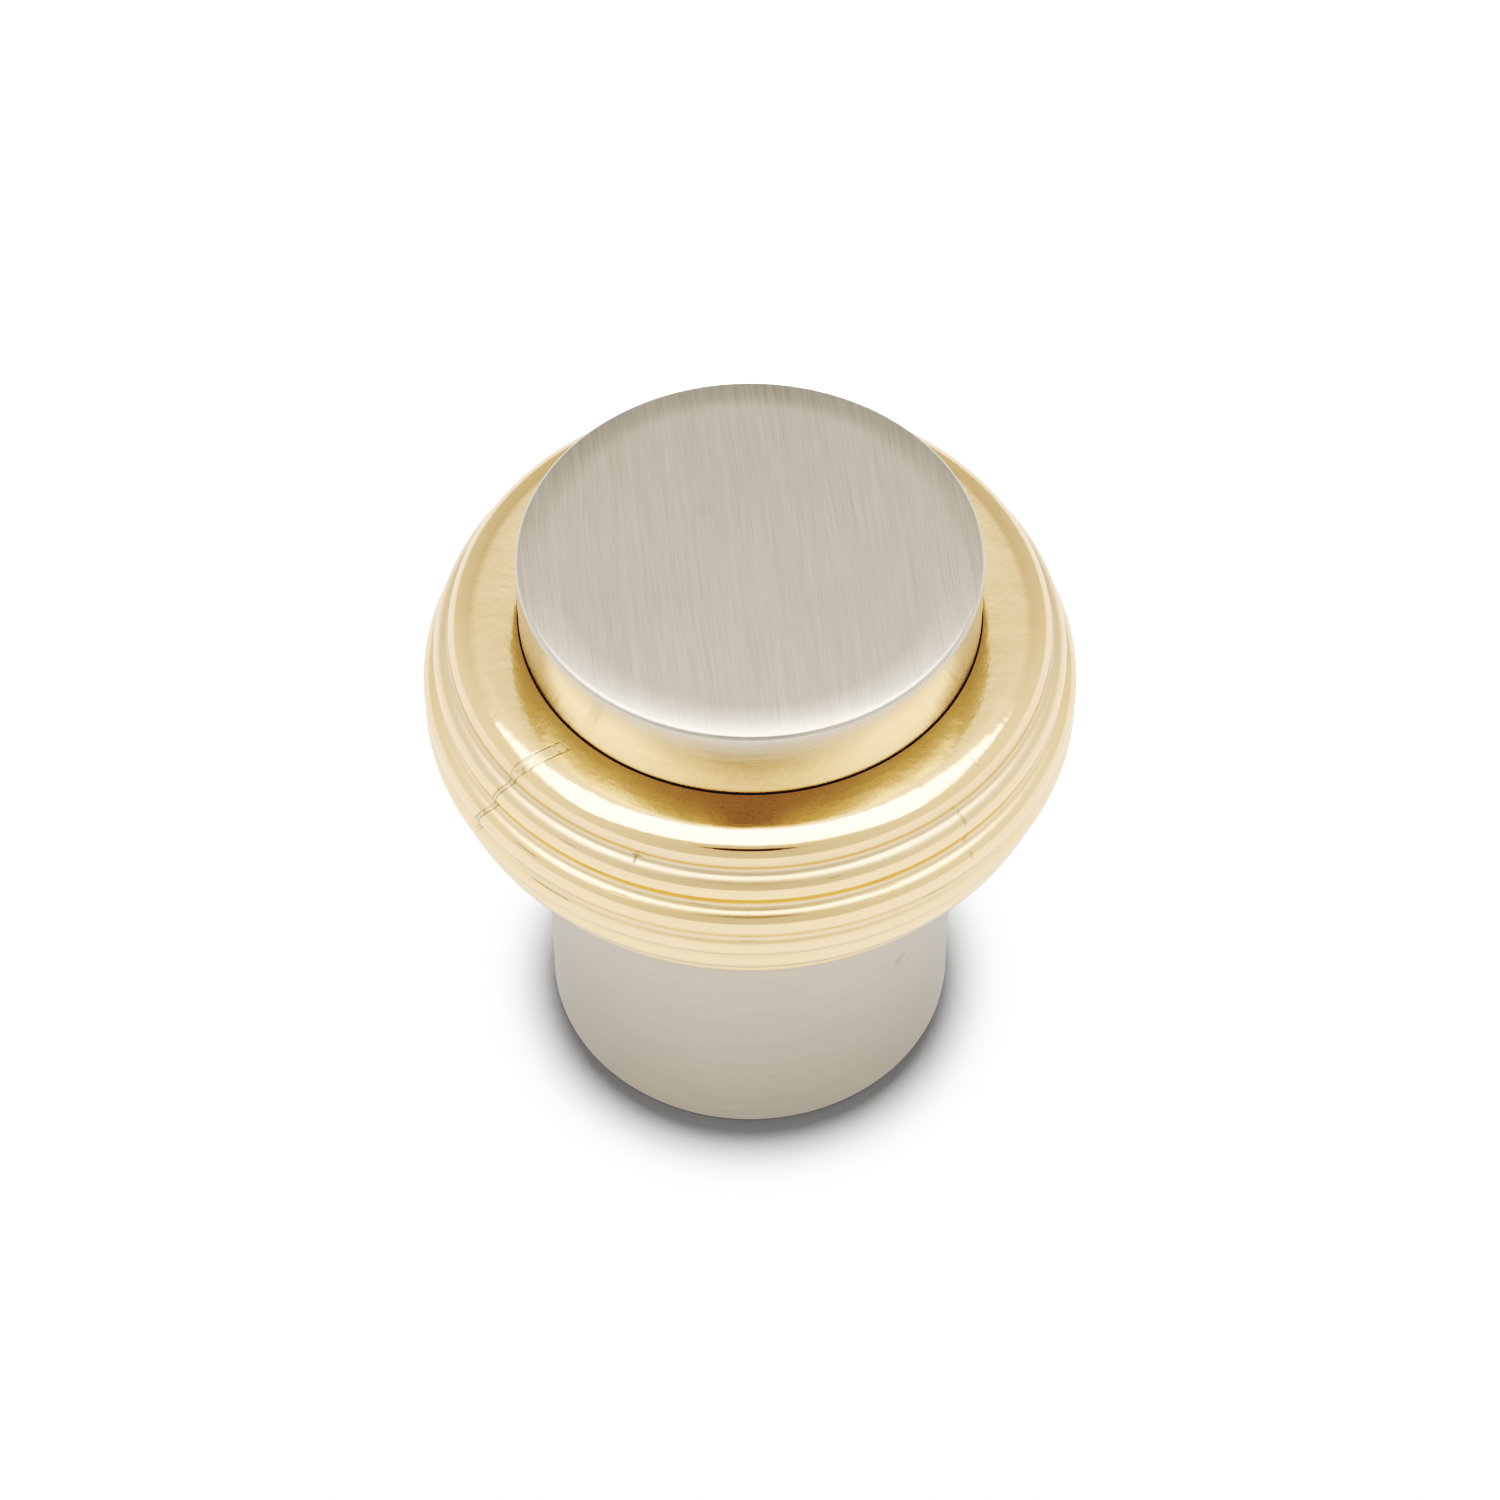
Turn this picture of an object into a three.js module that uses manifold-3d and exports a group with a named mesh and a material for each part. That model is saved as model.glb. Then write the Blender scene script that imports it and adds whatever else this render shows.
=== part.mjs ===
// Floor door holder: a nickelled post with a reeded brass bumper ring that turns
// freely around it, magnets inside the ring, and a cap-like head that unscrews
// to reach the floor screw. Millimetres, +Z up, origin at the centre of the
// underside, all turned pieces on the Z axis.

import * as THREE from 'three';
import { mergeVertices } from 'three/addons/utils/BufferGeometryUtils.js';
import Module from 'manifold-3d';

const wasm = await Module();
wasm.setup();

// ---------------------------------------------------------------- dimensions

const FIT = 0.3;                 // gap left between pieces that touch
const OUTER_FACETS = 48;         // facets round the large turned pieces
const INNER_FACETS = 36;         // facets round the small turned pieces

const OVERALL_HEIGHT = 52;

// base and its floor gasket
const BASE_RADIUS = 16.3;
const BASE_TOP = 30.4;
const BASE_EDGE = 0.4;
const BASE_BORE_RADIUS = 9.3;
const BASE_FLOOR = 2.7;          // thickness of the web across the bottom
const SCREW_HOLE_RADIUS = 3.3;
const GASKET_INNER = 10.8;
const GASKET_OUTER = 13.9;
const GASKET_THICKNESS = 1;

// core post
const STEM_RADIUS = 9;
const SEAT_THICKNESS = 4;        // web that takes the floor screw's pull
const FLANGE_RADIUS = 15.5;
const FLANGE_THICKNESS = 2.3;
const NECK_RADIUS = 8.6;
const THREAD_RADIUS = 9;         // M18 x 1.5
const POST_TOP = 49.2;
const ACCESS_RADIUS = 6.2;       // bore that the floor screw lies in
const O_RING_HEIGHT = 43.7;
const O_RING_RADIUS = 8.95;      // to the middle of its section
const O_RING_SECTION = 0.65;

// floor screw, its washer and the collar that keeps it up in the post
const SHANK_RADIUS = 2.5;
const SCREW_TIP = 0.9;
const SCREW_POINT_LENGTH = 5;
const SCREW_HEAD_RADIUS = 4.75;
const SCREW_HEAD_BASE = 42.6;
const SCREW_HEAD_HEIGHT = 3.3;
const COLLAR_THICKNESS = 2;
const PLAIN_WASHER_RADIUS = 5.8;
const PLAIN_WASHER_THICKNESS = 1;

// sleeve, bush and yoke inside the ring, and the thrust washers at their ends
const WASHER_THICKNESS = 0.8;
const SLEEVE_INNER = 8.9;
const SLEEVE_OUTER = 11;
const BUSH_OUTER = 13;
const YOKE_OUTER = 16.5;
const YOKE_TOP = 41.3;
const UPPER_WASHER_INNER = 10.3;
const UPPER_WASHER_OUTER = 16;

// head
const HEAD_RADIUS = 17.45;
const HEAD_EDGE = 0.45;
const HEAD_BOTTOM = 42.7;
const HEAD_BORE_TOP = 49.8;
const HEAD_COUNTERBORE_RADIUS = 10;
const HEAD_COUNTERBORE_TOP = 44.7;

// reeded ring: four beads wrapped over a round back, between two shoulders
const RING_MIDDLE = 37.3;
const BEAD_RADIUS = 1.45;
const BEADS = [                  // bead centres: from the axis, and above the ring's middle
  [22.6, -4.13], [23.55, -1.22], [23.55, 1.22], [22.6, 4.13],
];
const VALLEY_RADIUS = 0.6;       // hollow between two neighbouring rounds
const SHOULDER_RADIUS = 1.55;
const SHOULDER_R = 21.28;        // shoulder centre, from the axis
const SHOULDER_RISE = 6.35;      // shoulder centre, from the ring's middle
const CROWN_RADIUS = 3;          // flatter round that carries each shoulder on to its flat
const CROWN_ANGLE = THREE.MathUtils.degToRad(56);
const LIP_RADIUS = 17.8;
const LIP_DROP = 0.15;           // how far the lip lies below the crown's top
const LIP_EDGE = 0.25;
const ROOF_UNDERSIDE = 42.2;
const CAVITY_RADIUS = 21.6;
const CAVITY_TAPER = 1.1;
const CAP_BORE_RADIUS = 17;
const CAP_SPIGOT_TOP = 32.6;

// magnets and their carrier
const MAGNET_COUNT = 8;
const MAGNET_RADIUS = 3.5;
const MAGNET_LENGTH = 3;
const MAGNET_INNER_FACE = 17.2;
const CARRIER_CHAMFER = 1;

// screws that close the ring from below
const RING_SCREW_COUNT = 4;
const RING_SCREW_CIRCLE = 19.7;
const RING_SCREW_RADIUS = 1;
const RING_SCREW_HEAD_RADIUS = 1.6;
const RING_SCREW_HEAD_BASE = 29.5;
const RING_SCREW_HEAD_HEIGHT = 0.8;
const RING_SCREW_TIP = 44.3;
const HEX_RADIUS = 0.75;
const HEX_DEPTH = 0.6;

// levels that follow from the stack
const STEM_BOTTOM = BASE_FLOOR + FIT;
const SEAT_TOP = STEM_BOTTOM + SEAT_THICKNESS;
const FLANGE_BOTTOM = BASE_TOP + FIT;
const FLANGE_TOP = FLANGE_BOTTOM + FLANGE_THICKNESS;
const LOWER_WASHER_BOTTOM = FLANGE_TOP + FIT;
const YOKE_BOTTOM = LOWER_WASHER_BOTTOM + WASHER_THICKNESS + FIT;
const UPPER_WASHER_BOTTOM = YOKE_TOP + FIT;

// ----------------------------------------------------------------- materials

const material = (color, roughness, metalness) =>
  new THREE.MeshStandardMaterial({ color, roughness, metalness });

const satinNickel = material(0xc4bdb0, 0.38, 1);
const polishedBrass = material(0xe0b96c, 0.12, 1);
const zincSteel = material(0xb9bcbd, 0.35, 1);
const yokeSteel = material(0x6d7072, 0.45, 1);
const magnetNickel = material(0xcfd0ce, 0.15, 1);
const blackRubber = material(0x1d1d1e, 0.85, 0);
const greyRubber = material(0x3b3c3e, 0.9, 0);
const whiteAcetal = material(0xe9e7e0, 0.5, 0);
const blackNylon = material(0x26272a, 0.6, 0);

// ------------------------------------------------------------------- helpers

const point = (r, z) => new THREE.Vector2(r, z);

// Points of a round from one place on it to another the short way, both ends included.
function arc(round, from, to, steps) {
  const start = Math.atan2(from.y - round.centre.y, from.x - round.centre.x);
  const turned = Math.atan2(to.y - round.centre.y, to.x - round.centre.x) - start;
  const end = start + Math.atan2(Math.sin(turned), Math.cos(turned));
  return Array.from({ length: steps + 1 }, (_, i) => {
    const angle = start + (end - start) * i / steps;
    return point(round.centre.x + round.radius * Math.cos(angle),
      round.centre.y + round.radius * Math.sin(angle));
  });
}

// The hollow that joins two neighbouring rounds, on the side away from the axis:
// a round of its own that touches both, and the points where it touches them.
function valley(lower, upper) {
  const toLower = lower.radius + VALLEY_RADIUS;
  const toUpper = upper.radius + VALLEY_RADIUS;
  const across = upper.centre.clone().sub(lower.centre);
  const distance = across.length();
  const along = (toLower ** 2 - toUpper ** 2 + distance ** 2) / (2 * distance);
  const aside = Math.sqrt(toLower ** 2 - along ** 2);
  across.normalize();
  const centre = point(lower.centre.x + across.x * along + across.y * aside,
    lower.centre.y + across.y * along - across.x * aside);
  return {
    centre,
    radius: VALLEY_RADIUS,
    start: lower.centre.clone().lerp(centre, lower.radius / toLower),
    end: upper.centre.clone().lerp(centre, upper.radius / toUpper),
  };
}

// A turned piece. The profile runs anticlockwise in the (radius, height) plane
// and either starts and ends on the axis or is closed here on itself.
function turned(profile, facets) {
  const onAxis = profile[0].x === 0;
  const outline = onAxis ? profile : [...profile, profile[0]];
  const geometry = new THREE.LatheGeometry(outline, facets);
  return geometry.rotateX(Math.PI / 2);
}

// A washer, sleeve or other plain ring.
function plainRing(inner, outer, bottom, top, facets = INNER_FACETS) {
  return turned([point(outer, bottom), point(outer, top), point(inner, top), point(inner, bottom)],
    facets);
}

// A disc or rod, its axis along Z.
function plainRod(radius, bottom, top, facets) {
  return turned([point(0, bottom), point(radius, bottom), point(radius, top), point(0, top)],
    facets);
}

function toSolid(geometry) {
  const bare = geometry.clone();
  bare.deleteAttribute('normal');
  bare.deleteAttribute('uv');
  const merged = mergeVertices(bare);
  const index = Array.from(merged.index.array);
  const corners = [];
  for (let i = 0; i < index.length; i += 3) {
    const [a, b, c] = index.slice(i, i + 3);
    if (a !== b && b !== c && c !== a) corners.push(a, b, c);
  }
  return new wasm.Manifold(new wasm.Mesh({
    numProp: 3,
    vertProperties: new Float32Array(merged.attributes.position.array),
    triVerts: new Uint32Array(corners),
  }));
}

function toGeometry(solid) {
  const mesh = solid.getMesh();
  const geometry = new THREE.BufferGeometry();
  geometry.setAttribute('position', new THREE.BufferAttribute(mesh.vertProperties, 3));
  geometry.setIndex(new THREE.BufferAttribute(mesh.triVerts, 1));
  geometry.computeVertexNormals();
  return geometry;
}

function cut(geometry, tools) {
  const solid = tools.reduce((rest, tool) => rest.subtract(toSolid(tool)), toSolid(geometry));
  return toGeometry(solid);
}

const turn = (index, count) => 2 * Math.PI * index / count;

const holder = new THREE.Group();
holder.name = 'floor_door_holder';

function add(name, geometry, look, parent = holder) {
  const mesh = new THREE.Mesh(geometry, look);
  mesh.name = name;
  parent.add(mesh);
  return mesh;
}

// ---------------------------------------------------------------------- base

// Heavy turned base: a web across the bottom with the screw hole, a groove for
// the gasket in its underside, and a bore for the core post.
function baseBody() {
  const grooveRoof = GASKET_THICKNESS + FIT;
  return turned([
    point(SCREW_HOLE_RADIUS, 0),
    point(GASKET_INNER - FIT, 0),
    point(GASKET_INNER - FIT, grooveRoof),
    point(GASKET_OUTER + FIT, grooveRoof),
    point(GASKET_OUTER + FIT, 0),
    point(BASE_RADIUS - BASE_EDGE, 0),
    point(BASE_RADIUS, BASE_EDGE),
    point(BASE_RADIUS, BASE_TOP - BASE_EDGE),
    point(BASE_RADIUS - BASE_EDGE, BASE_TOP),
    point(BASE_BORE_RADIUS, BASE_TOP),
    point(BASE_BORE_RADIUS, BASE_FLOOR),
    point(SCREW_HOLE_RADIUS, BASE_FLOOR),
  ], OUTER_FACETS);
}

const floorGasket = () => plainRing(GASKET_INNER, GASKET_OUTER, 0, GASKET_THICKNESS, OUTER_FACETS);

// Hollow steel post: stem in the base, flange on top of the base, neck that the
// ring turns about, and the thread that the head screws onto.
function corePost() {
  const grooveHalf = O_RING_SECTION + FIT;
  const grooveRadius = O_RING_RADIUS - O_RING_SECTION - FIT;
  const threadChamfer = 0.6;
  return turned([
    point(SCREW_HOLE_RADIUS, STEM_BOTTOM),
    point(STEM_RADIUS, STEM_BOTTOM),
    point(STEM_RADIUS, FLANGE_BOTTOM),
    point(FLANGE_RADIUS, FLANGE_BOTTOM),
    point(FLANGE_RADIUS, FLANGE_TOP),
    point(NECK_RADIUS, FLANGE_TOP),
    point(NECK_RADIUS, O_RING_HEIGHT - grooveHalf),
    point(grooveRadius, O_RING_HEIGHT - grooveHalf),
    point(grooveRadius, O_RING_HEIGHT + grooveHalf),
    point(THREAD_RADIUS, O_RING_HEIGHT + grooveHalf),
    point(THREAD_RADIUS, POST_TOP - threadChamfer),
    point(THREAD_RADIUS - threadChamfer, POST_TOP),
    point(ACCESS_RADIUS, POST_TOP),
    point(ACCESS_RADIUS, SEAT_TOP),
    point(SCREW_HOLE_RADIUS, SEAT_TOP),
  ], INNER_FACETS);
}

// Soft ring in the groove below the thread. It keeps the head from working loose.
function headORing() {
  const sides = 8;
  const section = Array.from({ length: sides }, (_, i) => {
    const angle = turn(i, sides);
    return point(O_RING_RADIUS + O_RING_SECTION * Math.cos(angle),
      O_RING_HEIGHT + O_RING_SECTION * Math.sin(angle));
  });
  return turned(section, INNER_FACETS);
}

const screwCollar = () => plainRing(SHANK_RADIUS + FIT, ACCESS_RADIUS - FIT,
  SEAT_TOP + FIT, SEAT_TOP + FIT + COLLAR_THICKNESS, 24);

// ----------------------------------------------------------------- floor screw

// Pan-head floor screw, drawn up into the post. The thread form is left plain.
function floorScrew() {
  const headTop = SCREW_HEAD_BASE + SCREW_HEAD_HEIGHT;
  const headRound = 1.2;
  const recessLength = 5;
  const recessWidth = 1.1;
  const recessDepth = 2;
  const body = turned([
    point(0, SCREW_TIP),
    point(SHANK_RADIUS, SCREW_TIP + SCREW_POINT_LENGTH),
    point(SHANK_RADIUS, SCREW_HEAD_BASE),
    point(SCREW_HEAD_RADIUS, SCREW_HEAD_BASE),
    point(SCREW_HEAD_RADIUS, headTop - headRound),
    point(SCREW_HEAD_RADIUS - headRound, headTop - headRound * 0.25),
    point(SCREW_HEAD_RADIUS - 2 * headRound, headTop),
    point(0, headTop),
  ], 24);
  const slots = [[recessLength, recessWidth], [recessWidth, recessLength]].map(([x, y]) =>
    new THREE.BoxGeometry(x, y, 2 * recessDepth).translate(0, 0, headTop));
  return cut(body, slots);
}

const screwWasher = () => plainRing(SHANK_RADIUS + FIT, PLAIN_WASHER_RADIUS,
  SCREW_HEAD_BASE - FIT - PLAIN_WASHER_THICKNESS, SCREW_HEAD_BASE - FIT, 24);

// ------------------------------------------------------------------ the bearing

const lowerThrustWasher = () => plainRing(SLEEVE_INNER, FLANGE_RADIUS,
  LOWER_WASHER_BOTTOM, LOWER_WASHER_BOTTOM + WASHER_THICKNESS);

const bufferSleeve = () => plainRing(SLEEVE_INNER, SLEEVE_OUTER, YOKE_BOTTOM, YOKE_TOP);

const ringBush = () => plainRing(SLEEVE_OUTER + FIT, BUSH_OUTER, YOKE_BOTTOM, YOKE_TOP);

const yokeRing = () => plainRing(BUSH_OUTER + FIT, YOKE_OUTER, YOKE_BOTTOM, YOKE_TOP);

const upperThrustWasher = () => plainRing(UPPER_WASHER_INNER, UPPER_WASHER_OUTER,
  UPPER_WASHER_BOTTOM, UPPER_WASHER_BOTTOM + WASHER_THICKNESS);

// ------------------------------------------------------------------------ head

function head() {
  const corner = { centre: point(HEAD_RADIUS - HEAD_EDGE, OVERALL_HEIGHT - HEAD_EDGE), radius: HEAD_EDGE };
  const boreRadius = THREAD_RADIUS + FIT;
  const lowerEdge = 0.25;
  return turned([
    point(HEAD_COUNTERBORE_RADIUS, HEAD_BOTTOM),
    point(HEAD_RADIUS - lowerEdge, HEAD_BOTTOM),
    point(HEAD_RADIUS, HEAD_BOTTOM + lowerEdge),
    ...arc(corner, point(HEAD_RADIUS, corner.centre.y), point(corner.centre.x, OVERALL_HEIGHT), 2),
    point(0, OVERALL_HEIGHT),
    point(0, HEAD_BORE_TOP),
    point(boreRadius, HEAD_BORE_TOP),
    point(boreRadius, HEAD_COUNTERBORE_TOP),
    point(HEAD_COUNTERBORE_RADIUS, HEAD_COUNTERBORE_TOP),
  ], OUTER_FACETS);
}

// ---------------------------------------------------------------- reeded ring

// The rounds of the ring's outside, from the lower shoulder up to the upper one.
function ringRounds() {
  const beads = BEADS.map(([r, rise]) => ({ centre: point(r, RING_MIDDLE + rise), radius: BEAD_RADIUS }));
  const shoulder = (side) => ({
    centre: point(SHOULDER_R, RING_MIDDLE + side * SHOULDER_RISE),
    radius: SHOULDER_RADIUS,
  });
  return { lower: shoulder(-1), beads, upper: shoulder(1) };
}

// The crown of a shoulder: its round, where it leaves the shoulder's own round, and
// its highest point on the upper side or lowest on the lower one.
function crown(shoulder, side) {
  const way = point(Math.cos(CROWN_ANGLE), side * Math.sin(CROWN_ANGLE));
  const centre = shoulder.centre.clone().addScaledVector(way, shoulder.radius - CROWN_RADIUS);
  return {
    centre,
    radius: CROWN_RADIUS,
    start: centre.clone().addScaledVector(way, CROWN_RADIUS),
    peak: point(centre.x, centre.y + side * CROWN_RADIUS),
  };
}

function ringScrewHoles(radius, bottom, top) {
  return Array.from({ length: RING_SCREW_COUNT }, (_, i) => {
    const hole = plainRod(radius, bottom, top, 10);
    return hole.translate(RING_SCREW_CIRCLE, 0, 0).rotateZ(turn(i + 0.25, RING_SCREW_COUNT));
  });
}

// Edge of the joint between shell and cap, half a gap above or below the middle
// of the lowest hollow.
function capJoint(lowest, side) {
  const middle = arc(lowest, lowest.start, lowest.end, 2)[1];
  return point(middle.x, middle.y + side * FIT / 2);
}

// Brass shell with the four beads, the upper shoulder and the lip round the head.
// It is open below, and blind holes in its roof take the closing screws.
function reededRing() {
  const { lower, beads, upper } = ringRounds();
  const rounds = [lower, ...beads, upper];
  const valleys = rounds.slice(1).map((round, i) => valley(rounds[i], round));
  const outside = beads.flatMap((bead, i) => [
    ...arc(bead, valleys[i].end, valleys[i + 1].start, 4),
    ...arc(valleys[i + 1], valleys[i + 1].start, valleys[i + 1].end, 2).slice(1, -1),
  ]);
  const joint = capJoint(valleys[0], 1);
  const { centre, radius, start, peak } = crown(upper, 1);
  const lipTop = peak.y - LIP_DROP;
  const shell = turned([
    joint,
    ...outside,
    ...arc(upper, valleys.at(-1).end, start, 2),
    ...arc({ centre, radius }, start, peak, 3).slice(1),
    point((peak.x + LIP_RADIUS) / 2, peak.y - LIP_DROP * 0.3),
    point(LIP_RADIUS + LIP_EDGE, lipTop),
    point(LIP_RADIUS, lipTop - LIP_EDGE),
    point(LIP_RADIUS, ROOF_UNDERSIDE),
    point(CAVITY_RADIUS - CAVITY_TAPER, ROOF_UNDERSIDE),
    point(CAVITY_RADIUS, ROOF_UNDERSIDE - CAVITY_TAPER),
    point(CAVITY_RADIUS, joint.y),
  ], OUTER_FACETS);
  return cut(shell, ringScrewHoles(RING_SCREW_RADIUS + FIT, ROOF_UNDERSIDE - 1, RING_SCREW_TIP + FIT));
}

// Brass cap that closes the ring below, with the lower shoulder and a spigot
// that centres it in the shell. Its screws are sunk into its underside.
function ringBaseCap() {
  const { lower, beads } = ringRounds();
  const lowest = valley(lower, beads[0]);
  const joint = capJoint(lowest, -1);
  const { centre, radius, start, peak: bottom } = crown(lower, -1);
  const spigotRadius = CAVITY_RADIUS - FIT;
  const lipBottom = bottom.y + LIP_DROP;
  const cap = turned([
    point(CAP_BORE_RADIUS + LIP_EDGE, lipBottom),
    point((bottom.x + CAP_BORE_RADIUS) / 2, bottom.y + LIP_DROP * 0.3),
    ...arc({ centre, radius }, bottom, start, 3),
    ...arc(lower, start, lowest.start, 2).slice(1),
    joint,
    point(spigotRadius, joint.y),
    point(spigotRadius, CAP_SPIGOT_TOP),
    point(CAP_BORE_RADIUS, CAP_SPIGOT_TOP),
    point(CAP_BORE_RADIUS, lipBottom + LIP_EDGE),
  ], OUTER_FACETS);
  const sinkTop = RING_SCREW_HEAD_BASE + RING_SCREW_HEAD_HEIGHT;
  const sinks = Array.from({ length: RING_SCREW_COUNT }, (_, i) => turned([
    point(0, bottom.y - 1),
    point(RING_SCREW_HEAD_RADIUS + FIT, bottom.y - 1),
    point(RING_SCREW_HEAD_RADIUS + FIT, RING_SCREW_HEAD_BASE),
    point(RING_SCREW_RADIUS + FIT, sinkTop),
    point(RING_SCREW_RADIUS + FIT, CAP_SPIGOT_TOP + 1),
    point(0, CAP_SPIGOT_TOP + 1),
  ], 16).translate(RING_SCREW_CIRCLE, 0, 0).rotateZ(turn(i + 0.25, RING_SCREW_COUNT)));
  return cut(cap, sinks);
}

// ----------------------------------------------------- magnets and their carrier

const magnetHeight = (CAP_SPIGOT_TOP + ROOF_UNDERSIDE) / 2;

// A rod along the carrier's radius at one of the magnets' places.
function radialRod(radius, inner, outer, index, facets) {
  const rod = plainRod(radius, inner, outer, facets).rotateY(Math.PI / 2);
  return rod.rotateZ(turn(index, MAGNET_COUNT)).translate(0, 0, magnetHeight);
}

// Nylon ring with a window for each magnet and a way through for each screw.
function magnetCarrier() {
  const outer = CAVITY_RADIUS - FIT;
  const inner = YOKE_OUTER + FIT;
  const bottom = CAP_SPIGOT_TOP + FIT;
  const top = ROOF_UNDERSIDE - FIT;
  const ring = turned([
    point(inner, bottom),
    point(outer, bottom),
    point(outer, top - CARRIER_CHAMFER),
    point(outer - CARRIER_CHAMFER, top),
    point(inner, top),
  ], OUTER_FACETS);
  const windows = Array.from({ length: MAGNET_COUNT }, (_, i) =>
    radialRod(MAGNET_RADIUS + FIT, inner - 1, outer + 1, i, 16));
  return cut(ring, [...windows, ...ringScrewHoles(RING_SCREW_RADIUS + FIT, bottom - 1, top + 1)]);
}

const magnet = (index) =>
  radialRod(MAGNET_RADIUS, MAGNET_INNER_FACE, MAGNET_INNER_FACE + MAGNET_LENGTH, index, 16);

// Countersunk hex-socket screw that closes the ring from below.
function ringScrew(index) {
  const body = turned([
    point(0, RING_SCREW_HEAD_BASE),
    point(RING_SCREW_HEAD_RADIUS, RING_SCREW_HEAD_BASE),
    point(RING_SCREW_RADIUS, RING_SCREW_HEAD_BASE + RING_SCREW_HEAD_HEIGHT),
    point(RING_SCREW_RADIUS, RING_SCREW_TIP),
    point(0, RING_SCREW_TIP),
  ], 12);
  const socket = plainRod(HEX_RADIUS, RING_SCREW_HEAD_BASE - 1, RING_SCREW_HEAD_BASE + HEX_DEPTH, 6);
  const screw = cut(body, [socket]);
  return screw.translate(RING_SCREW_CIRCLE, 0, 0).rotateZ(turn(index + 0.25, RING_SCREW_COUNT));
}

// -------------------------------------------------------------------- assembly

add('base_body', baseBody(), satinNickel);
add('floor_gasket', floorGasket(), greyRubber);
add('core_post', corePost(), zincSteel);
add('head_o_ring', headORing(), blackRubber);
add('screw_collar', screwCollar(), blackNylon);
add('floor_screw', floorScrew(), zincSteel);
add('screw_washer', screwWasher(), zincSteel);
add('lower_thrust_washer', lowerThrustWasher(), whiteAcetal);
add('buffer_sleeve', bufferSleeve(), blackRubber);
add('upper_thrust_washer', upperThrustWasher(), whiteAcetal);
add('head', head(), satinNickel);

const ring = new THREE.Group();
holder.add(ring);
add('ring_bush', ringBush(), whiteAcetal, ring);
add('yoke_ring', yokeRing(), yokeSteel, ring);
add('magnet_carrier', magnetCarrier(), blackNylon, ring);
add('reeded_ring', reededRing(), polishedBrass, ring);
add('ring_base_cap', ringBaseCap(), polishedBrass, ring);
for (let i = 0; i < MAGNET_COUNT; i += 1) {
  add(`magnet_${i + 1}`, magnet(i), magnetNickel, ring);
}
for (let i = 0; i < RING_SCREW_COUNT; i += 1) {
  add(`ring_screw_${i + 1}`, ringScrew(i), zincSteel, ring);
}

export default holder;
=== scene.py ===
"""Looks of the floor door holder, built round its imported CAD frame. Metres, +Z up."""
import math

import bpy
from mathutils import Matrix, Vector


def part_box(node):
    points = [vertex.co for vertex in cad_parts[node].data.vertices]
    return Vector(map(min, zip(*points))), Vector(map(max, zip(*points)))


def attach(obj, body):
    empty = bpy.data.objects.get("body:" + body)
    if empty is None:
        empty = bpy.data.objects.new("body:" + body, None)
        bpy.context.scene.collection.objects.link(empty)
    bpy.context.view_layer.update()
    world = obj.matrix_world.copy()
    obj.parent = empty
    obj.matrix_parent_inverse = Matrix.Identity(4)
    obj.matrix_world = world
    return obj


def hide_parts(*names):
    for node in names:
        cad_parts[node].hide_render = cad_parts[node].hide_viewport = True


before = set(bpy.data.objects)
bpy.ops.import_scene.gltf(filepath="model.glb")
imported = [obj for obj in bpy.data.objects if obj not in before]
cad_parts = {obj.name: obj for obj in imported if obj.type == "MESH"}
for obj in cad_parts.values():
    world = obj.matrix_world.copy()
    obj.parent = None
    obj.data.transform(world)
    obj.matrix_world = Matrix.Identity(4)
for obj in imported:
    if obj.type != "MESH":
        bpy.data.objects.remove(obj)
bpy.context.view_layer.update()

MM = 0.001

# ------------------------------------------------------------------ dimensions
# Millimetres. The large ones are read from the CAD pieces; FIT is the gap that keeps
# separate pieces apart.

FIT = 0.3


def span(node):
    """Outer radius, bottom and top of a turned CAD piece."""
    low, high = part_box(node)
    return max(high.x, high.y) / MM, low.z / MM, high.z / MM


def inner_radius(node):
    """Smallest distance of a CAD piece's corners from the axis."""
    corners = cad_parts[node].data.vertices
    return min(math.hypot(v.co.x, v.co.y) for v in corners) / MM


HEAD_RADIUS, HEAD_BOTTOM, HEAD_TOP = span("head")
BASE_RADIUS, _, BASE_TOP = span("base_body")
POST_RADIUS, POST_BOTTOM, POST_TOP = span("core_post")
_, _, RING_TOP = span("reeded_ring")
_, RING_BOTTOM, CAP_SPIGOT_TOP = span("ring_base_cap")
SCREW_RADIUS, SCREW_BOTTOM, SCREW_TOP = span("floor_screw")
RING_MIDDLE = (RING_TOP + RING_BOTTOM) / 2

BEAD_RADIUS = 1.45
BEADS = [(22.6, -4.13), (23.55, -1.22), (23.55, 1.22), (22.6, 4.13)]  # from axis, above middle
VALLEY_RADIUS = 0.6
SHOULDER_RADIUS = 1.55
SHOULDER_R = 21.28
CROWN_RADIUS = 3.0
CROWN_ANGLE = 56.0               # where the crown takes over from the shoulder's round, degrees
LIP_RADIUS = HEAD_RADIUS + 0.05  # the head stands in the ring with a hairline between
LIP_DROP = 0.15
LIP_EDGE = 0.08
ROOF_UNDERSIDE = 42.2
CAVITY_RADIUS = 21.6
CAP_BORE_RADIUS = 17.0
RING_SCREW_COUNT = 4
RING_SCREW_CIRCLE = 19.7
MAGNET_COUNT = 8
THREAD_PITCH = 1.5               # of the head's thread


# --------------------------------------------------------------------- geometry

def arc(centre, radius, start, end, steps):
    """Points of a round in the (radius, height) plane, angles in degrees."""
    angles = [math.radians(start + (end - start) * i / steps) for i in range(steps + 1)]
    return [(centre[0] + radius * math.cos(a), centre[1] + radius * math.sin(a)) for a in angles]


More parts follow.
